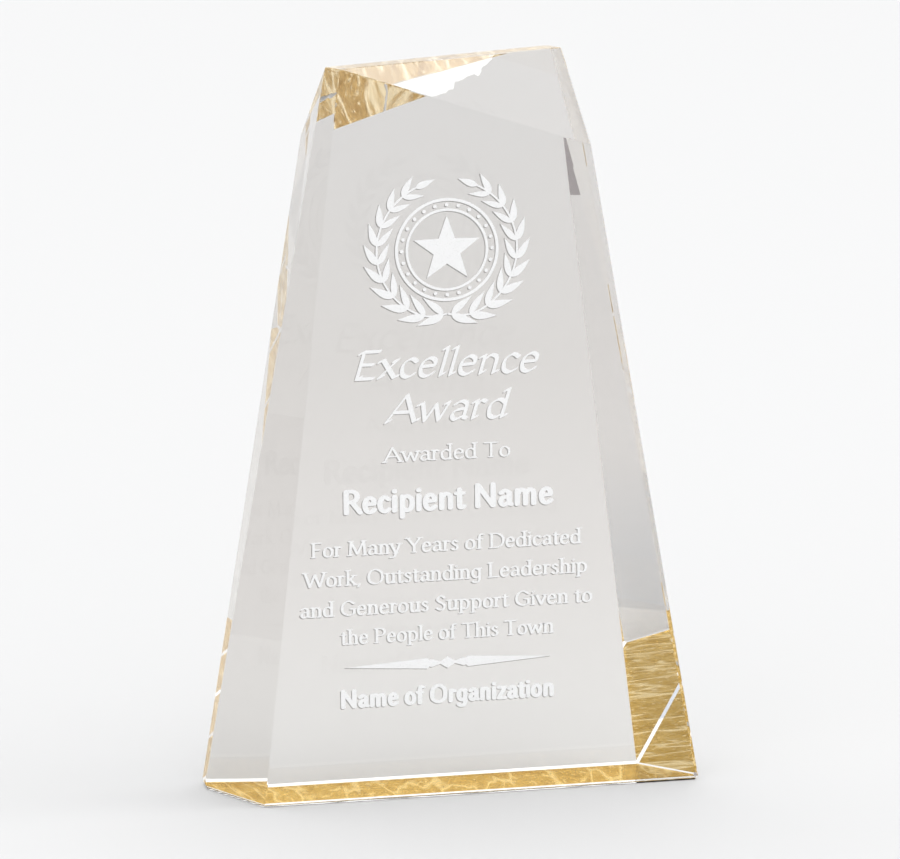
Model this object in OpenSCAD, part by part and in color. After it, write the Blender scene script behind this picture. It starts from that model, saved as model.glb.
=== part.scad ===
// Crystal award: a clear tapered block with slanting side bevels and two crossed top cuts,
// a sheet of gold leaf under it and a thin clear base sheet that covers the leaf.
// The block turned half a turn about its upright axis looks nearly the same: the left bevel is
// on the front, the right one is on the back, and the two top cuts cross on the top in the same way.
// Millimetres. +Z is up, +X is the award's right, -Y is its engraved front.
// The origin is the middle of the resting face.

/* [Block] */
// Height of the clear block alone
block_h = 203.2; // [160:0.1:260]
// Width of the block at its base
base_w = 135.7; // [120:0.1:170]
// Width of the block at its top
top_w = 67.1; // [55:0.1:90]
// Thickness of the block, the same from base to top
block_t = 25.4; // [24:0.1:40]

/* [Side bevels] */
// How much of the broad face a side bevel takes away at the base
bevel_base = 14.1; // [8:0.1:15]
// How much of the broad face a side bevel takes away at the top
bevel_top = 3.1; // [1.5:0.1:6]
// Angle in plan between a side bevel and the narrow side face beside it
bevel_angle = 35; // [33:1:45]

/* [Top cuts] */
// How far the front cut comes down the front right edge
front_cut = 23.1; // [12:0.1:45]
// How far the back cut comes down the back left edge
back_cut = 21.8; // [12:0.1:45]

/* [Base] */
// Thickness of the gold leaf with its adhesive
leaf_t = 0.2; // [0.1:0.05:0.4]
// Thickness of the clear sheet under the leaf
sheet_t = 0.3; // [0.2:0.1:3]

/* [Edges] */
// Width of the flat that polishing leaves along the upright and top edges
edge_flat = 0.3; // [0.1:0.05:0.8]
// Width of the flat along the bottom edges of the broad and side faces
base_flat = 1.1; // [0.3:0.1:2]
// Width of the flat along the bottom edges of the bevels
bevel_flat = 0.6; // [0.3:0.1:2]

/* [Hidden] */

UP = [0, 0, 1];
reach = 3 * block_h;                       // size of a cutting half space
half_t = block_t / 2;
base_x = base_w / 2;                       // side face, from the middle plane
top_x = top_w / 2;
base_depth = bevel_base / tan(bevel_angle); // bevel's width on the side face
top_depth = bevel_top / tan(bevel_angle);

// Corners of the base and the top that the planes pass through, for the right half;
// the left half's are these turned half a turn
right_base = [base_x, -half_t, 0];
right_top = [top_x, -half_t, block_h];
bevel_base_back = [base_x - bevel_base, half_t, 0];
bevel_base_side = [base_x, half_t - base_depth, 0];
bevel_top_back = [top_x - bevel_top, half_t, block_h];
bevel_top_side = [top_x, half_t - top_depth, block_h];

function unit(v) = v / norm(v);
function half_turn(v) = [-v.x, -v.y, v.z];

// A face is [outward normal, distance from the origin]
function face(n, p) = [unit(n), unit(n) * p];
function face_through(p, q, r) = face(cross(q - p, r - p), p);
function turned(f) = [half_turn(f[0]), f[1]];

// Flat of a given width along the edge between two faces
function polished(a, b, width) = [
    unit(a[0] + b[0]),
    (a[1] + b[1] - width / 2 * norm(a[0] - b[0])) / norm(a[0] + b[0])
];

// Point on the right front edge, a drop below the top
function edge_point(drop) = right_top + (right_base - right_top) * (drop / block_h);

// Cut from the front bevel's top corner to the back bevel's, down to the right front edge
function top_cut(drop) = face_through(half_turn(bevel_top_back), edge_point(drop), bevel_top_side);

front = face([0, -1, 0], [0, -half_t, 0]);
back = turned(front);
right = face_through(right_base, bevel_base_side, right_top);
left = turned(right);
back_bevel = face_through(bevel_base_side, bevel_base_back, bevel_top_side);
front_bevel = turned(back_bevel);
top = face(UP, [0, 0, block_h]);
bottom = face(-UP, [0, 0, 0]);
front_top_cut = top_cut(front_cut);
back_top_cut = turned(top_cut(back_cut));

upright = [front, right, back_bevel, back, left, front_bevel];
sides = len(upright);
flats = concat(
    [for (i = [0:sides - 1]) polished(upright[i], upright[(i + 1) % sides], edge_flat)],
    [for (f = [front, right, back, left]) polished(f, bottom, base_flat)],
    [for (f = [front_bevel, back_bevel]) polished(f, bottom, bevel_flat)],
    [for (f = [front_top_cut, back_top_cut, front_bevel, back_bevel]) polished(f, top, edge_flat)],
    [for (f = [front, right]) polished(f, front_top_cut, edge_flat)],
    [for (f = [back, left]) polished(f, back_top_cut, edge_flat)]
);
block_faces = concat(upright, [top, bottom, front_top_cut, back_top_cut], flats);

// The leaf and the sheet stop where the flats along the block's bottom edges start.
// Right half of their outline; the left half is this turned half a turn
flat_x = base_x - base_flat * cos(45);
flat_y = half_t - base_flat * cos(45);
flat_bevel = cos(bevel_angle) * bevel_base_back.x + sin(bevel_angle) * half_t - bevel_flat * cos(45);
right_outline = [
    [flat_x, -flat_y],
    [flat_x, (flat_bevel - cos(bevel_angle) * flat_x) / sin(bevel_angle)],
    [(flat_bevel - sin(bevel_angle) * flat_y) / cos(bevel_angle), flat_y]
];
outline = concat(right_outline, [for (p = right_outline) -p]);

// Everything behind a face
module behind(f) {
    rotate([0, acos(f[0].z), atan2(f[0].y, f[0].x)])
        translate([-reach, -reach, f[1] - 2 * reach])
            cube(2 * reach);
}

module crystal_block() {
    color("whitesmoke", 0.5)
        translate([0, 0, sheet_t + leaf_t])
            intersection_for (f = block_faces) behind(f);
}

module gold_leaf() {
    color("goldenrod")
        translate([0, 0, sheet_t])
            linear_extrude(leaf_t) polygon(outline);
}

module base_sheet() {
    color("gainsboro", 0.5)
        linear_extrude(sheet_t) polygon(outline);
}

crystal_block();
gold_leaf();
base_sheet();
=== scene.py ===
"""Looks for the crystal award: clear block, crinkled gold leaf under it, frosted engraving on the front.

Metres, apart from the engraving's outlines, which are in millimetres.
+Z is up, +X is the award's right, -Y is its engraved front.
"""
import math

import bpy
from mathutils import Matrix, Vector, geometry, noise


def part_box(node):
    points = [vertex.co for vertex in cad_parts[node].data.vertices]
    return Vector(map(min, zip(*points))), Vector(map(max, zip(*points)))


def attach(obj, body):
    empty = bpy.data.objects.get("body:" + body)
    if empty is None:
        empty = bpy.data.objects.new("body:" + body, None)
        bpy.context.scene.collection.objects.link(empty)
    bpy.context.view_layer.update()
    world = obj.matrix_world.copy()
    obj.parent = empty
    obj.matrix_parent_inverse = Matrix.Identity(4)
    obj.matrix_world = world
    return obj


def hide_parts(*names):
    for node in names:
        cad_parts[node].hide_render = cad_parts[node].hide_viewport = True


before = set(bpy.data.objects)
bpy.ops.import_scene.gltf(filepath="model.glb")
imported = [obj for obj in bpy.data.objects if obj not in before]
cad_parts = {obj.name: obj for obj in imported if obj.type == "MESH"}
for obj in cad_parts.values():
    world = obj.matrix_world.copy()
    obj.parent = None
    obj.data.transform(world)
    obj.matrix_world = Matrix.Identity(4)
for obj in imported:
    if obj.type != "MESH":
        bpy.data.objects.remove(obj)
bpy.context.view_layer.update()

MM = 0.001
block_low, block_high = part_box("crystal_block")
leaf_low, leaf_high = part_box("gold_leaf")
front_y = block_low.y
block_bottom = block_low.z


def add_object(name, data):
    """A new object in the scene that shows this mesh, light or camera."""
    added = bpy.data.objects.new(name, data)
    bpy.context.scene.collection.objects.link(added)
    return added


def add_mesh(name, vertices, faces, material):
    """A new object of one material, from its vertices and faces."""
    mesh = bpy.data.meshes.new(name)
    mesh.from_pydata(vertices, [], faces)
    mesh.materials.append(material)
    return add_object(name, mesh)


# ---------------------------------------------------------------- nodes

def grey(value):
    """A grey of this brightness."""
    return value, value, value


WHITE = grey(1.0)


def new_material(name):
    """A material with an empty node tree, as (material, tree)."""
    material = bpy.data.materials.new(name)
    material.use_nodes = True
    material.node_tree.nodes.clear()
    return material, material.node_tree


def add_node(tree, kind, inputs=None, **settings):
    """Adds a node; inputs are constants or output sockets to link from."""
    node = tree.nodes.new(kind)
    for key, value in settings.items():
        setattr(node, key, value)
    for key, value in (inputs or {}).items():
        if isinstance(value, bpy.types.NodeSocket):
            tree.links.new(value, node.inputs[key])
        else:
            node.inputs[key].default_value = value
    return node


def set_surface(tree, kind, inputs):
    """Adds a shader and the output that shows it."""
    shader = add_node(tree, kind, inputs)
    add_node(tree, "ShaderNodeOutputMaterial", {"Surface": shader.outputs[0]})


def object_place(tree):
    """Position in the row frame, in metres."""
    return add_node(tree, "ShaderNodeTexCoord").outputs["Object"]


def component(tree, vector, axis):
    """A vector's "X", "Y" or "Z"."""
    return add_node(tree, "ShaderNodeSeparateXYZ", {0: vector}).outputs[axis]


def multiply(tree, a, b):
    """The product of two colours or vectors, component by component."""
    return add_node(tree, "ShaderNodeVectorMath", {0: a, 1: b}, operation="MULTIPLY").outputs[0]


def calculate(tree, operation, a, b=0.0):
    """One step of arithmetic, such as "MULTIPLY", on numbers."""
    return add_node(tree, "ShaderNodeMath", {0: a, 1: b}, operation=operation).outputs[0]


def map_range(tree, value, low, high, at_low=0.0, at_high=1.0, **settings):
    """Turns low..high into at_low..at_high, held level outside."""
    node = add_node(tree, "ShaderNodeMapRange", {
        "Value": value, "From Min": low, "From Max": high, "To Min": at_low, "To Max": at_high,
    }, **settings)
    return node.outputs[0]


def mix(tree, factor, a, b):
    """Colour a where the factor is 0 and b where it is 1; sockets 6, 7 and 2 are the node's colours."""
    return add_node(tree, "ShaderNodeMix", {0: factor, 6: a, 7: b}, data_type="RGBA").outputs[2]


def ramp(tree, factor, stops):
    """Colour ramp through (position, (r, g, b)) stops."""
    node = add_node(tree, "ShaderNodeValToRGB", {"Fac": factor})
    elements = node.color_ramp.elements
    elements[0].position, elements[0].color = stops[0][0], (*stops[0][1], 1)
    elements[1].position, elements[1].color = stops[-1][0], (*stops[-1][1], 1)
    for position, colour in stops[1:-1]:
        elements.new(position).color = (*colour, 1)
    return node.outputs["Color"]


def noise_value(tree, vector, scale, detail=2.0, roughness=0.5):
    """Noise texture's value at a scale, in cycles per metre."""
    node = add_node(tree, "ShaderNodeTexNoise",
                    {"Vector": vector, "Scale": scale, "Detail": detail, "Roughness": roughness})
    return node.outputs[0]


def stretched_noise(tree, vector, scales, detail=2.0, roughness=0.5):
    """Noise texture's value at a scale of its own along each axis, in cycles per metre."""
    return noise_value(tree, multiply(tree, vector, scales), 1.0, detail, roughness)


def fold_lines(tree, vector, scales, width):
    """Thin ridges along the level lines of a noise: 1 on a ridge, 0 away from it."""
    value = stretched_noise(tree, vector, scales, 3.0, 0.45)
    away = calculate(tree, "ABSOLUTE", calculate(tree, "SUBTRACT", value, 0.5))
    return map_range(tree, away, 0.0, width, 1.0, 0.0, interpolation_type="SMOOTHSTEP")


def bump(tree, height, strength, distance, under=None):
    """The surface normal tilted by a height; under is an earlier bump that this one adds to."""
    inputs = {"Height": height, "Strength": strength, "Distance": distance}
    if under is not None:
        inputs["Normal"] = under
    return add_node(tree, "ShaderNodeBump", inputs).outputs[0]


# ---------------------------------------------------------------- materials

def crystal_material(name, tints_with_painted_light, speck_scale):
    """Polished clear acrylic with painted light: a tint that is clearest at the bottom, and painted shade
    on the side bevels and the upright faces, so that the upper cuts show clearer; the cuts are also wavier.

    The tint stops are a ramp's stops, from 0 at the bottom to 1 at the block's top; the clearer bottom is
    painted light that makes up for the shade the block casts on the floor behind it.
    """
    acrylic_ior = 1.49
    painted_bevel_shade = (0.92, 0.91, 0.90)
    painted_upright_shade = grey(0.925)
    upright_waviness, cut_waviness = 0.001, 0.07
    most_haze = 0.02
    material, tree = new_material(name)
    place = object_place(tree)
    rise = map_range(tree, component(tree, place, "Z"), 0.0, block_high.z)
    # how far a face looks sideways and up tells the bevels and the top cuts from the other faces
    normal = add_node(tree, "ShaderNodeNewGeometry").outputs["True Normal"]
    facing = add_node(tree, "ShaderNodeVectorMath", {0: normal}, operation="ABSOLUTE").outputs[0]
    sideways = component(tree, facing, "X")
    upward = component(tree, facing, "Z")
    # painted shade: the side bevels and all upright faces are darkened by which way they face, which leaves
    # the cuts, top and bottom clearer
    bevel_painted_shade = ramp(tree, sideways, [(0.4, WHITE), (0.7, painted_bevel_shade), (0.88, painted_bevel_shade), (0.95, WHITE)])
    face_painted_shade = ramp(tree, upward, [(0.3, painted_upright_shade), (0.6, WHITE)])
    # a tint that is clearer towards the bottom as painted light, times the painted shade of bevels and
    # upright faces
    colour = multiply(tree, multiply(tree, ramp(tree, rise, tints_with_painted_light), bevel_painted_shade), face_painted_shade)
    waviness = map_range(tree, upward, 0.3, 0.6, upright_waviness, cut_waviness)
    waves = noise_value(tree, place, 45.0, 1.0)
    ripples = stretched_noise(tree, place, (330.0, 210.0, 210.0), 1.0)
    wavy = bump(tree, waves, waviness, 0.001)
    specks = noise_value(tree, place, speck_scale, 3.0, 0.6)
    set_surface(tree, "ShaderNodeBsdfPrincipled", {
        "Base Color": colour,
        "Roughness": map_range(tree, specks, 0.55, 0.8, 0.0, most_haze),
        "IOR": acrylic_ior,
        "Transmission Weight": 1.0,
        "Normal": bump(tree, ripples, waviness, 0.00005, wavy),
    })
    return material


def gold_material():
    """Gold leaf: mottled, deeper to the right, with painted highlights along creases from front to back,
    painted glints in fine flecks, and fine grain.
    """
    glint_gold = (1.0, 0.88, 0.62, 1.0)
    edge_tint = (0.98, 0.75, 0.32, 1.0)
    right_tint = (0.90, 0.84, 0.72)
    right_start, right_end = -0.03, 0.06
    material, tree = new_material("gold_leaf_crinkled")
    place = object_place(tree)
    mottle = stretched_noise(tree, place, (300.0, 170.0, 200.0), 4.0, 0.6)
    colour = ramp(tree, mottle, [
        (0.35, (0.50, 0.335, 0.14)),
        (0.50, (0.62, 0.445, 0.20)),
        (0.66, (0.74, 0.565, 0.29)),
    ])
    far_right = map_range(tree, component(tree, place, "X"), right_start, right_end)
    colour = multiply(tree, colour, ramp(tree, far_right, [(0.0, WHITE), (1.0, right_tint)]))

    long_folds = fold_lines(tree, place, (70.0, 14.0, 20.0), 0.026)
    short_folds = fold_lines(tree, place, (190.0, 45.0, 50.0), 0.045)
    cross_folds = fold_lines(tree, place, (260.0, 420.0, 50.0), 0.03)
    patches = map_range(tree, stretched_noise(tree, place, (190.0, 130.0, 50.0)), 0.52, 0.58)
    broken_folds = calculate(tree, "MULTIPLY", short_folds, patches)
    folds = calculate(tree, "MAXIMUM", long_folds, broken_folds)
    fine_noise = stretched_noise(tree, place, (1300.0, 700.0, 500.0), 2.0, 0.6)
    # painted highlights and glints: pale gold mixed in along the fold lines and in fine flecks
    painted_glint_flecks = map_range(tree, fine_noise, 0.58, 0.68, 0.0, 0.8)
    pale = calculate(tree, "MAXIMUM", calculate(tree, "MULTIPLY", folds, 0.9), painted_glint_flecks)

    grain = noise_value(tree, place, 2400.0, 3.0, 0.6)
    grained = bump(tree, grain, 0.8, 0.0001)
    crossed = bump(tree, cross_folds, 0.4, 0.0001, grained)
    set_surface(tree, "ShaderNodeBsdfPrincipled", {
        # the pale gold on the folds and flecks is a painted highlight
        "Base Color": mix(tree, pale, colour, glint_gold),
        "Metallic": 1.0,
        "Roughness": map_range(tree, mottle, 0.3, 0.7, 0.10, 0.20),
        "Specular Tint": edge_tint,
        "Normal": bump(tree, folds, 0.9, 0.00006, crossed),
    })
    return material


def frost_material():
    """Sand-etched white with speckle; the cut's walls that face the lower left are painted grey as a
    shadow.
    """
    frosted, painted_wall_shadow = grey(0.82), (0.46, 0.45, 0.44)
    lower_left = (-0.75, 0.0, -0.66)
    material, tree = new_material("frosted_engraving")
    speckle = noise_value(tree, object_place(tree), 3000.0, 2.0, 0.7)
    normal = add_node(tree, "ShaderNodeNewGeometry").outputs["Normal"]
    facing = add_node(tree, "ShaderNodeVectorMath", {0: normal, 1: lower_left},
                      operation="DOT_PRODUCT").outputs["Value"]
    # painted shadow: faces turned to the lower left are mixed towards grey
    shade = ramp(tree, facing, [(0.0, frosted), (0.03, frosted), (0.2, painted_wall_shadow)])
    spots = ramp(tree, speckle, [(0.33, (0.88, 0.88, 0.87)), (0.45, WHITE)])
    set_surface(tree, "ShaderNodeBsdfPrincipled", {
        "Base Color": multiply(tree, shade, spots),
        "Roughness": 0.75,
        "Normal": bump(tree, speckle, 0.5, 0.00005),
    })
    return material


# ---------------------------------------------------------------- gold leaf

def leaf_outline():
    """Corners of the gold leaf's outline, from its CAD node, in turn about the middle."""
    corners = {(round(v.co.x, 6), round(v.co.y, 6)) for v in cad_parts["gold_leaf"].data.vertices}
    return sorted(corners, key=lambda p: math.atan2(p[1], p[0]))


def outline_span(corners, y):
    """Leftmost and rightmost x of a convex outline at this y."""
    slack = 1e-9
    xs = []
    for (x0, y0), (x1, y1) in zip(corners, corners[1:] + corners[:1]):
        if y0 != y1 and min(y0, y1) - slack <= y <= max(y0, y1) + slack:
            xs.append(x0 + (x1 - x0) * (y - y0) / (y1 - y0))
    return min(xs), max(xs)


def crease(x, y, scale_x, scale_y, seed, sharpness):
    """Thin raised folds, 0 between them and 1 along them."""
    value = noise.noise(Vector((x * scale_x, y * scale_y, seed)))
    return max(0.0, 1.0 - abs(value) * sharpness) ** 2


def leaf_height(x, y):
    """How far the crinkled leaf stands above its flat level, in metres."""
    level, long_rise, thin_rise, slant_rise, small_rise = 0.08, 0.02, 0.01, 0.01, 0.02    # mm
    most_bend = 2.5 * MM
    bend = most_bend * noise.noise(Vector((x * 90, y * 90, 7.1)))
    long_folds = crease(x + bend, y + bend, 70, 14, 1.3, 11.0)
    thin_folds = crease(x - bend, y + bend, 330, 60, 3.9, 6.0)
    slant_folds = crease(x + 0.7 * y + bend, y - 0.4 * x, 150, 60, 4.7, 6.0)
    small = noise.fractal(Vector((x * 800, y * 700, 2.2)), 1.0, 2.0, 3)
    return MM * (level + long_rise * long_folds + thin_rise * thin_folds
                 + slant_rise * slant_folds + small_rise * small)


def make_gold_leaf():
    """A closed crinkled sheet in the leaf's place; its folds press a little into the block above."""
    spacing = 0.22 * MM
    margin = 0.02 * MM              # least rise above the flat leaf, and the gap under it
    corners = leaf_outline()
    low_y = min(p[1] for p in corners)
    high_y = max(p[1] for p in corners)
    across = round((high_y - low_y) / spacing)
    along = round((leaf_high.x - leaf_low.x) / spacing)
    row = along + 1
    vertices, faces = [], []
    for j in range(across + 1):
        y = low_y + (high_y - low_y) * j / across
        left, right = outline_span(corners, y)
        for i in range(row):
            x = left + (right - left) * i / along
            vertices.append((x, y, leaf_high.z + max(leaf_height(x, y), margin)))
    for j in range(across):
        for i in range(along):
            corner = j * row + i
            faces.append((corner, corner + 1, corner + row + 1, corner + row))

    front_edge = list(range(row))
    right_edge = [j * row + along for j in range(1, across + 1)]
    back_edge = [across * row + i for i in range(along - 1, -1, -1)]
    left_edge = [j * row for j in range(across - 1, 0, -1)]
    rim = front_edge + right_edge + back_edge + left_edge
    first_under = len(vertices)
    vertices += [(vertices[k][0], vertices[k][1], leaf_low.z + margin) for k in rim]
    under = list(range(first_under, len(vertices)))
    for k, corner in enumerate(rim):
        after = (k + 1) % len(rim)
        faces.append((corner, under[k], under[after], rim[after]))
    faces.append(tuple(reversed(under)))

    piece = add_mesh("crinkled_gold_leaf", vertices, faces, gold_material())
    piece.data.shade_smooth()
    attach(piece, "root")
    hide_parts("gold_leaf")


# ---------------------------------------------------------------- engraving
# Outlines are lists of (x, z) in mm, x from the middle of the block and z from its underside.

PROUD = 0.04                    # how far the frosted face stands in front of the block, mm
DEPTH = 0.06                    # how far the cut goes into the block, mm
WALL_SHIFT = (-0.24, -0.22)     # the cut's slanting side, painted grey as a shadow, shows on the lower left of every stroke, mm


def merged(outlines):
    """The union of closed outlines, as (corners, triangles)."""
    inside_only, tolerance = 1, 1e-5
    corners, faces = [], []
    for outline in outlines:
        faces.append(list(range(len(corners), len(corners) + len(outline))))
        corners += [Vector(point) for point in outline]
    points, _, triangles, _, _, sources = geometry.delaunay_2d_cdt(
        corners, [], faces, inside_only, tolerance)
    return points, [t for t, covering in zip(triangles, sources) if covering]


def carve(name, shapes, frost):
    """One frosted piece from merged shapes: a flat face, slanting walls and a flat back in the block."""
    shift_x, shift_z = WALL_SHIFT
    vertices, faces = [], []
    for points, triangles in shapes:
        start = len(vertices)
        behind = start + len(points)
        vertices += [(x * MM, front_y - PROUD * MM, block_bottom + z * MM) for x, z in points]
        vertices += [((x + shift_x) * MM, front_y + DEPTH * MM, block_bottom + (z + shift_z) * MM)
                     for x, z in points]
        for a, b, c in triangles:
            faces.append((start + a, start + b, start + c))
            faces.append((behind + c, behind + b, behind + a))
        edges = {(t[i], t[(i + 1) % 3]) for t in triangles for i in range(3)}
        for a, b in sorted(edges):
            if (b, a) not in edges:
                faces.append((start + b, start + a, behind + a, behind + b))
    piece = add_mesh(name, vertices, faces, frost)
    piece.visible_glossy = False    # kept out of the reflections inside the block
    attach(piece, "root")


def spline(a, b, c, d, t):
    """A smooth curve's coordinate from b, where t is 0, to c, where t is 1; a and d are the next ones."""
    return 0.5 * (2 * b + (c - a) * t + (2 * a - 5 * b + 4 * c - d) * t ** 2
                  + (3 * b - a - 3 * c + d) * t ** 3)


def smooth(points):
    """Points along a smooth curve through these points; a curve that ends where it starts is closed."""
    steps = 5
    closed = points[0] == points[-1]
    before = points[-2] if closed else points[0]
    after = points[1] if closed else points[-1]
    padded = [before] + points + [after]
    path = []
    for around in zip(padded, padded[1:], padded[2:], padded[3:]):
        for k in range(steps):
            path.append(tuple(spline(*values, k / steps) for values in zip(*around)))
    return path + [points[-1]]


def pen(width, thickness, angle=0):
    """Outline of an oval nib held at an angle in degrees, mm."""
    corners = 12
    turn = math.radians(angle)
    nib = []
    for k in range(corners):
        t = 2 * math.pi * k / corners
        along, across = width / 2 * math.cos(t), thickness / 2 * math.sin(t)
        nib.append((along * math.cos(turn) - across * math.sin(turn),
                    along * math.sin(turn) + across * math.cos(turn)))
    return nib


def sweep(path, nib):
    """Outlines that the nib covers along a path, one for each step."""
    outlines = []
    for start, end in zip(path, path[1:]):
        cloud = [Vector((x + dx, z + dz)) for x, z in (start, end) for dx, dz in nib]
        outlines.append([cloud[i] for i in geometry.convex_hull_2d(cloud)])
    return outlines


# ---------------------------------------------------------------- lettering
# Letter skeletons: the advance, then each stroke's x,z points in hundredths of the capital height.
# A stroke that starts with ~ is a smooth curve.
LETTERS = {
    " ": (27,),
    "A": (78, "2,0 38,100 76,0", "15,36 63,36"),
    "D": (78, "12,0 12,100", "~12,100 46,98 70,72 70,28 46,2 12,0"),
    "E": (60, "12,0 12,100", "12,100 54,100", "12,52 46,52", "12,0 56,0"),
    "F": (56, "12,0 12,100", "12,100 52,100", "12,52 44,52"),
    "G": (78, "~70,82 45,101 17,85 7,50 17,15 45,-1 70,12", "70,12 70,44", "52,44 76,44"),
    "L": (57, "12,0 12,100", "12,0 54,0"),
    "M": (94, "9,0 14,100", "14,100 46,8 79,100", "79,100 85,0"),
    "N": (82, "12,0 12,100", "12,100 70,0", "70,0 70,100"),
    "O": (83, "~41,101 13,84 6,50 13,16 41,-1 69,16 76,50 69,84 41,101"),
    "P": (62, "12,0 12,100", "~12,100 42,98 56,76 42,52 12,48"),
    "R": (67, "12,0 12,100", "~12,100 42,98 54,76 42,54 12,50", "34,51 66,0"),
    "S": (56, "~49,84 30,101 10,80 20,59 42,42 49,20 30,-1 6,14"),
    "T": (66, "33,0 33,100", "3,100 63,100"),
    "W": (104, "3,100 27,0 52,88 77,0 101,100"),
    "Y": (70, "35,0 35,46", "3,100 35,46 67,100"),
    "a": (51, "~8,56 24,67 39,59 41,42", "41,46 41,6 50,2", "~41,39 15,33 7,15 20,-1 41,14"),
    "c": (46, "~43,55 26,67 9,52 6,32 12,9 28,-1 44,10"),
    "d": (57, "46,0 46,104", "~46,54 28,67 9,53 6,32 12,8 28,-1 46,14"),
    "e": (50, "7,36 43,38", "~43,38 41,57 26,67 10,54 6,32 12,8 28,-1 45,11"),
    "f": (35, "16,0 16,80", "~16,76 21,99 40,99", "3,66 34,66"),
    "g": (54, "~44,54 26,67 9,53 6,34 12,12 27,2 44,16", "44,66 44,-10", "~44,-10 36,-29 20,-32 6,-24"),
    "h": (57, "11,0 11,104", "~11,47 27,67 43,60 46,42", "46,44 46,0"),
    "i": (24, "12,0 12,66", "12,89 12,93"),
    "k": (54, "11,0 11,104", "44,66 12,28", "23,40 51,0"),
    "l": (24, "12,0 12,104"),
    "m": (86, "11,0 11,66", "~11,47 26,67 39,60 42,42", "42,44 42,0", "~42,47 57,67 70,60 73,42",
          "73,44 73,0"),
    "n": (57, "11,0 11,66", "~11,47 27,67 43,60 46,42", "46,44 46,0"),
    "o": (54, "~27,67 10,54 6,33 10,11 27,-1 44,11 48,33 44,54 27,67"),
    "p": (57, "11,-30 11,66", "~11,52 28,67 46,54 50,33 44,8 28,-1 11,14"),
    "r": (39, "11,0 11,66", "~11,44 23,66 37,61"),
    "s": (41, "~35,56 21,67 8,53 19,38 34,25 33,8 20,-1 5,9"),
    "t": (35, "16,84 16,20", "~16,20 18,2 28,-1 36,6", "3,66 33,66"),
    "u": (57, "11,66 11,24", "~11,26 14,4 28,-1 46,18", "46,66 46,0"),
    "v": (53, "3,66 27,0 50,66"),
    "w": (77, "3,66 21,0 39,60 57,0 74,66"),
    "x": (51, "5,66 47,0", "45,66 5,0"),
    "y": (53, "3,66 28,0", "50,66 21,-26 7,-30"),
    "z": (47, "6,66 43,66 5,0 44,0"),
    ",": (22, "13,5 7,-16"),
}
SERIF_LEVELS = (-30, 0, 66, 100, 104)
SERIF_HALF = 9                  # half a serif's length, in hundredths of the capital height
HOOK_X, HOOK_Z = 1.2, 0.8       # how far a hook runs, in half serifs

# Each piece of lettering: nib, capital height in mm, slant, the strokes' ends,
# and its lines as words, left end, right end and baseline in mm.
LETTERING = {
    "engraved_title": (pen(1.45, 0.4, 38), 8.3, 0.3, "hooks", [
        ("Excellence", -28.4, 22.4, 118.4),
        ("Award", -19.6, 14.0, 106.0),
    ]),
    "engraved_heading": (pen(0.66, 0.32, 15), 4.3, 0.0, "serifs", [
        ("Awarded To", -19.8, 15.2, 95.3),
    ]),
    "engraved_name": (pen(1.5, 1.05), 7.1, 0.0, "plain", [
        ("Recipient Name", -31.4, 26.9, 81.2),
    ]),
    "engraved_paragraph": (pen(0.74, 0.34, 15), 4.3, 0.0, "serifs", [
        ("For Many Years of Dedicated", -40.1, 34.7, 69.7),
        ("Work, Outstanding Leadership", -42.1, 36.4, 61.4),
        ("and Generous Support Given to", -43.4, 37.8, 52.9),
        ("the People of This Town", -32.3, 27.0, 44.7),
    ]),
    "engraved_giver": (pen(1.25, 0.9), 5.5, 0.0, "plain", [
        ("Name of Organization", -32.7, 27.1, 26.5),
    ]),
}


def strokes_of(letter, ends):
    """A letter's strokes as point lists; its straight ones may end in level serifs or slanting hooks."""
    strokes = []
    for text in LETTERS[letter][1:]:
        points = [tuple(float(v) for v in pair.split(",")) for pair in text.lstrip("~").split()]
        if text.startswith("~"):
            strokes.append(smooth(points))
            continue
        strokes.append(points)
        for (x, z), (_, near_z) in ((points[0], points[1]), (points[-1], points[-2])):
            if z not in SERIF_LEVELS or z == near_z:
                continue
            if ends == "serifs":
                strokes.append([(x - SERIF_HALF, z), (x + SERIF_HALF, z)])
            if ends == "hooks":
                turn = 1 if z < near_z else -1
                reach = turn * SERIF_HALF
                strokes.append([(x, z), (x + HOOK_X * reach, z + HOOK_Z * reach)])
    return strokes


def text_line(words, left, right, baseline, cap_height, nib, slant, ends):
    """A line of lettering drawn with a nib inside these limits, as one merged shape for each letter."""
    narrowest = 0.6                 # a skeleton's least width, as a part of its letter's
    nib_width = 2 * max(x for x, _ in nib)
    nib_height = 2 * max(z for _, z in nib)
    unit = (cap_height - nib_height) / 100
    advances = [LETTERS[letter][0] for letter in words]
    stretch = (right - left) / (sum(advances) * unit)
    inset = nib_width / 2 / (unit * stretch)
    ready, shapes, x = {}, [], left
    for letter, advance in zip(words, advances):
        if letter not in ready:
            middle = advance / 2
            squeeze = max(narrowest, 1 - inset / advance)
            outlines = []
            for stroke in strokes_of(letter, ends):
                path = [((middle + (px - middle) * squeeze) * stretch * unit + pz * slant * unit, pz * unit)
                        for px, pz in stroke]
                outlines += sweep(path, nib)
            ready[letter] = merged(outlines) if outlines else ([], [])
        points, triangles = ready[letter]
        shapes.append(([(x + px, baseline + nib_height / 2 + pz) for px, pz in points], triangles))
        x += advance * unit * stretch
    return shapes


def make_lettering(frost):
    """Generic wording on the front, in five groups."""
    for name, (nib, cap_height, slant, ends, lines) in LETTERING.items():
        shapes = []
        for words, left, right, baseline in lines:
            shapes += text_line(words, left, right, baseline, cap_height, nib, slant, ends)
        carve(name, shapes, frost)


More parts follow.
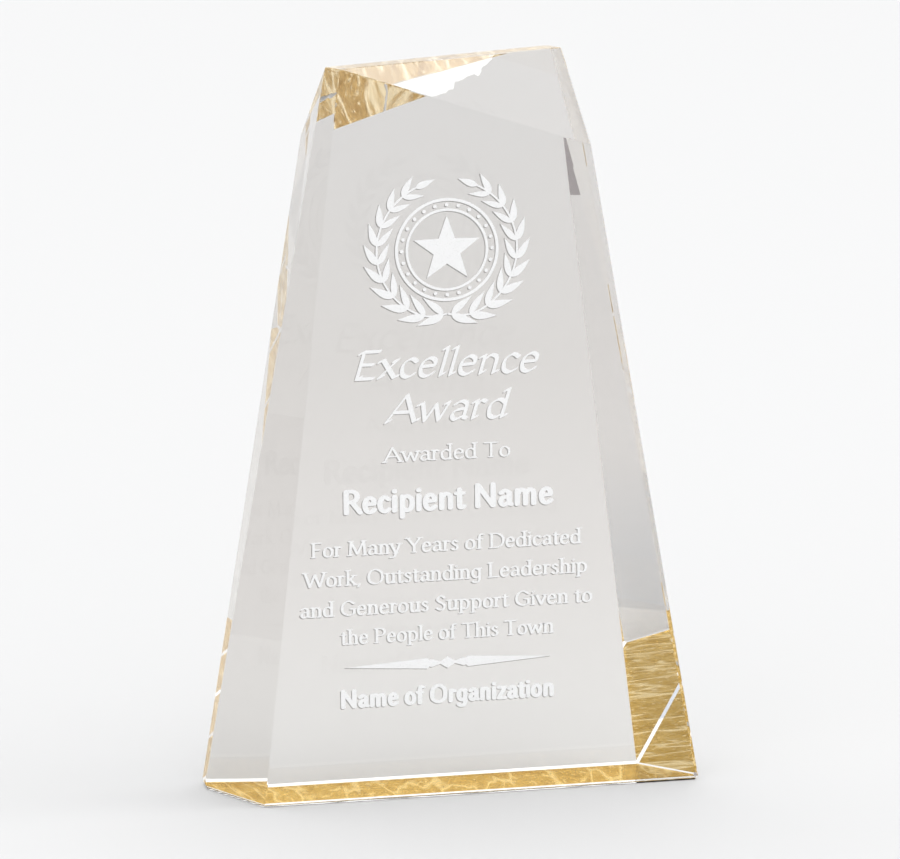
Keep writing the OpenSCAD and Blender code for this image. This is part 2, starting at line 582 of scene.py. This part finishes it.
# ---------------------------------------------------------------- emblem and divider
CENTRE_X, CENTRE_Z = -2.0, 153.3    # middle of the wreath
STEM_RADIUS = 19.1
STEM_WIDTH = 0.5
STEM_END = 158                  # degrees from straight down
LEAF_PAIRS = 10
FIRST_LEAVES = 3.5              # degrees from straight down to the lowest pair
LEAF_STEP = 15.3                # degrees from one pair of leaves to the next
LEAF_SHRINK = 0.022             # how much smaller each pair is than the one below, as a part of the lowest
OUTER_LENGTH, INNER_LENGTH = 7.7, 7.5
OUTER_TURN, INNER_TURN = -24, 38    # how far the leaves turn from the stem, degrees
LEAN_BULGE, FULL_BULGE = 1.0, 1.45  # how far the two sides of an outer leaf stand out
INNER_SLIMMER = 0.85            # an inner leaf's bulges, as a part of an outer one's
TIP_LENGTH = 5.6


def polar(radius, angle):
    """Point at this radius and angle, in degrees from straight down, about the wreath's middle."""
    a = math.radians(angle)
    return CENTRE_X + radius * math.sin(a), CENTRE_Z - radius * math.cos(a)


def leaf_shape(base, direction, length, bulge_left, bulge_right):
    """Pointed leaf from its base along a direction in degrees, widest nearer its base."""
    count = 14
    cos_d, sin_d = math.cos(math.radians(direction)), math.sin(math.radians(direction))
    outline = []
    for side, bulge in ((-1, bulge_right), (1, bulge_left)):
        steps = range(count + 1) if side == -1 else range(count - 1, 0, -1)
        for k in steps:
            t = k / count
            width = side * bulge * math.sin(math.pi * t ** 0.72) * (1 - 0.25 * t)
            along = t * length
            outline.append((base[0] + along * cos_d - width * sin_d,
                            base[1] + along * sin_d + width * cos_d))
    return outline


def stem_radius(angle):
    """The stems run together towards the bottom."""
    narrowing, last_angle = 1.6, 22
    return STEM_RADIUS - narrowing * max(0.0, 1 - angle / last_angle) ** 1.3


def stem_direction(angle, side):
    """Which way the stem on this side runs, in degrees, at an angle from straight down."""
    return angle if side > 0 else 180 - angle


def make_wreath(frost):
    """Two laurel branches, open at the top: pairs of leaves along each stem and a leaf at its tip."""
    outlines = []
    for side in (-1, 1):
        stem = [polar(stem_radius(angle), side * angle) for angle in range(1, STEM_END, 4)]
        outlines += sweep(stem, pen(STEM_WIDTH, STEM_WIDTH))
        for k in range(LEAF_PAIRS):
            angle = FIRST_LEAVES + LEAF_STEP * k
            base = polar(stem_radius(angle), side * angle)
            direction = stem_direction(angle, side)
            shrink = 1 - LEAF_SHRINK * k
            lean, full = LEAN_BULGE * shrink, FULL_BULGE * shrink
            outer = (lean, full) if side > 0 else (full, lean)
            inner = [INNER_SLIMMER * bulge for bulge in reversed(outer)]
            outlines.append(leaf_shape(base, direction + OUTER_TURN * side, OUTER_LENGTH * shrink, *outer))
            outlines.append(leaf_shape(base, direction + INNER_TURN * side, INNER_LENGTH * shrink, *inner))
        tip = polar(STEM_RADIUS, side * (STEM_END - 4))
        outlines.append(leaf_shape(tip, stem_direction(STEM_END, side), TIP_LENGTH, LEAN_BULGE, LEAN_BULGE))
    carve("engraved_wreath", [merged(outlines)], frost)


def ring(radius, width):
    """A closed ring about the wreath's middle, as a merged shape."""
    count = 90
    path = [polar(radius, 360 * k / count) for k in range(count + 1)]
    return merged(sweep(path, pen(width, width)))


def make_emblem(frost):
    """Plain five-pointed star in a double ring with small dots between."""
    star_point, star_notch = 9.4, 3.8
    dots, dot_radius, dot_size = 24, 12.3, 1.0
    star = [polar(star_point if k % 2 == 0 else star_notch, 180 + 36 * k) for k in range(10)]
    shapes = [ring(13.7, 0.8), ring(10.9, 0.7), merged([star])]
    for k in range(dots):
        x, z = polar(dot_radius, 360 / dots * k)
        shapes.append(merged([[(x + dx, z + dz) for dx, dz in pen(dot_size, dot_size)]]))
    carve("engraved_emblem", shapes, frost)


def make_divider(frost):
    """Thin tapering rule with shoulders and a diamond in the middle."""
    middle, level = -2.7, 38.1
    profile = [(28.6, 0.05), (5.6, 1.5), (5.1, 0.95), (4.4, 1.15), (3.4, 0.8), (1.8, 0.3)]
    half_width, half_height = 2.6, 1.65
    outlines = [[(middle - half_width, level), (middle, level - half_height),
                 (middle + half_width, level), (middle, level + half_height)]]
    for side in (-1, 1):
        upper = [(middle + side * x, level + z) for x, z in profile]
        lower = [(middle + side * x, level - z) for x, z in reversed(profile[1:])]
        outlines.append((upper + lower)[::-side])    # both sides run the same way round
    carve("engraved_divider", [merged(outlines)], frost)


# ---------------------------------------------------------------- stage

def make_floor():
    """Large pale round floor just under the award."""
    radius, gap, count = 60.0, 0.05 * MM, 128
    material, tree = new_material("pale_floor")
    set_surface(tree, "ShaderNodeBsdfDiffuse", {"Color": (0.70, 0.70, 0.70, 1.0), "Roughness": 0.0})
    turns = [2 * math.pi * k / count for k in range(count)]
    edge = [(radius * math.cos(turn), radius * math.sin(turn), -gap) for turn in turns]
    add_mesh("floor", edge, [tuple(range(count))], material)


def make_world():
    """White studio light by direction.

    In front it is dim at the far left and very bright at the far right. Behind the award
    a dim gap and a bright panel lie one above the other.
    """
    left, front, right = (0.47, 0.50, 0.555), grey(0.65), grey(2.0)
    glow, gap, panel, high = grey(0.74), grey(0.26), WHITE, grey(0.72)
    strength = 1.85
    world = bpy.data.worlds.new("studio")
    bpy.context.scene.world = world
    world.use_nodes = True
    tree = world.node_tree
    tree.nodes.clear()
    direction = add_node(tree, "ShaderNodeTexCoord").outputs["Generated"]
    sideways = map_range(tree, component(tree, direction, "X"), -1.0, 1.0)
    behind = map_range(tree, component(tree, direction, "Y"), 0.0, 0.25)
    upward = component(tree, direction, "Z")
    in_front = ramp(tree, sideways, [(0.0, left), (0.1, left), (0.2, front),
                                     (0.86, front), (0.91, right), (1.0, right)])
    at_back = ramp(tree, upward, [(0.0, glow), (0.36, glow), (0.46, gap), (0.6, gap),
                                  (0.68, panel), (0.84, panel), (0.91, high), (1.0, high)])
    background = add_node(tree, "ShaderNodeBackground", {
        "Color": mix(tree, behind, in_front, at_back), "Strength": strength})
    add_node(tree, "ShaderNodeOutputWorld", {"Surface": background.outputs[0]})


def make_card(name, corners, left_colour, right_colour):
    """Card seen only in the award; its colour changes between two places to the left of the award."""
    left_x, right_x = -0.16, -0.1
    material, tree = new_material(name)
    along = map_range(tree, component(tree, object_place(tree), "X"), left_x, right_x)
    colour = ramp(tree, along, [(0.0, left_colour), (1.0, right_colour)])
    set_surface(tree, "ShaderNodeBsdfDiffuse", {"Color": colour, "Roughness": 0.0})
    card = add_mesh(name, corners, [(0, 1, 2, 3)], material)
    card.visible_camera = False
    card.visible_diffuse = False
    card.visible_shadow = False


def make_cards():
    """A low grey card standing far to the left, and a grey sheet lying beside the award as a painted
    shadow, darker towards the award.
    """
    x, front, back, top = -0.335, -0.35, 0.2, 0.075
    dark = (0.34, 0.32, 0.33)
    make_card("far_card", [(x, front, 0.0), (x, back, 0.0), (x, back, top), (x, front, top)], dark, dark)
    # painted shadow: a grey sheet seen only in the award, darker near it, in place of the award's soft
    # shadow on the floor
    left, right, half_depth, level = -0.165, -0.072, 0.06, 0.5 * MM
    make_card("painted_floor_shadow", [(left, -half_depth, level), (right, -half_depth, level),
                              (right, half_depth, level), (left, half_depth, level)],
              grey(0.69), (0.585, 0.595, 0.61))


def make_softbox():
    """Square softbox high on the right, facing the top of the award, with two sides along the edge."""
    place = Vector((0.775, -0.094, 1.599))
    aim = Vector((0.0, -0.007, 0.198))
    edge = Vector((0.52, 0.82, -0.23))
    size, radiance = 0.2, 8.0
    light = bpy.data.lights.new("top_softbox", "AREA")
    light.shape = "SQUARE"
    light.size = size
    light.energy = radiance * math.pi * size ** 2
    away = (place - aim).normalized()
    side = (edge - away * away.dot(edge)).normalized()
    turn = Matrix((side, away.cross(side), away)).transposed().to_4x4()
    add_object("top_softbox", light).matrix_world = Matrix.Translation(place) @ turn


def make_camera():
    """Long lens, slightly left of the front and above, tipped a little to the side."""
    azimuth, elevation, roll = -0.1778, 0.2478, -0.0080
    distance, focal_length, sensor = 1.305, 191.3, 36.0
    aside, above_base = 0.72 * MM, 100.4 * MM
    right = Vector((math.cos(azimuth), math.sin(azimuth), 0.0))
    forward = Vector((-math.sin(azimuth) * math.cos(elevation),
                      math.cos(azimuth) * math.cos(elevation), -math.sin(elevation)))
    up = right.cross(forward)
    target = right * aside + Vector((0.0, 0.0, block_bottom + above_base))
    rolled_right = right * math.cos(roll) + up * math.sin(roll)
    rolled_up = up * math.cos(roll) - right * math.sin(roll)
    turn = Matrix((rolled_right, rolled_up, -forward)).transposed().to_4x4()
    camera_data = bpy.data.cameras.new("camera")
    camera_data.lens = focal_length
    camera_data.sensor_width = sensor
    camera_data.clip_end = 200.0
    camera = add_object("camera", camera_data)
    camera.matrix_world = Matrix.Translation(target - forward * distance) @ turn
    bpy.context.scene.camera = camera


def set_light_paths():
    """Enough bounces for light to find its way round inside the block."""
    scene = bpy.context.scene
    scene.cycles.max_bounces = 28
    scene.cycles.glossy_bounces = 24
    scene.cycles.transmission_bounces = 24
    scene.cycles.diffuse_bounces = 3
    scene.view_settings.view_transform = "Standard"


# ---------------------------------------------------------------- the scene

make_camera()
make_world()
make_floor()
make_cards()
set_light_paths()
make_softbox()

# tint stops from bottom to top; the clearer bottom is painted light against the shade on the floor behind
# the block
clear_acrylic = crystal_material("clear_acrylic", [
    (0.0, (1.0, 0.99, 0.965)),
    (0.3, (0.88, 0.855, 0.83)),
    (0.6, (0.805, 0.78, 0.755)),
    (1.0, (0.80, 0.785, 0.77)),
], 1800.0)
clear_sheet = crystal_material("clear_base_sheet", [
    (0.0, (0.97, 0.97, 0.965)),
    (1.0, (0.95, 0.95, 0.945)),
], 2200.0)
for node_name, finish in (("crystal_block", clear_acrylic), ("base_sheet", clear_sheet)):
    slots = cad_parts[node_name].data.materials
    slots.clear()
    slots.append(finish)

frosted = frost_material()
make_gold_leaf()
make_wreath(frosted)
make_emblem(frosted)
make_divider(frosted)
make_lettering(frosted)
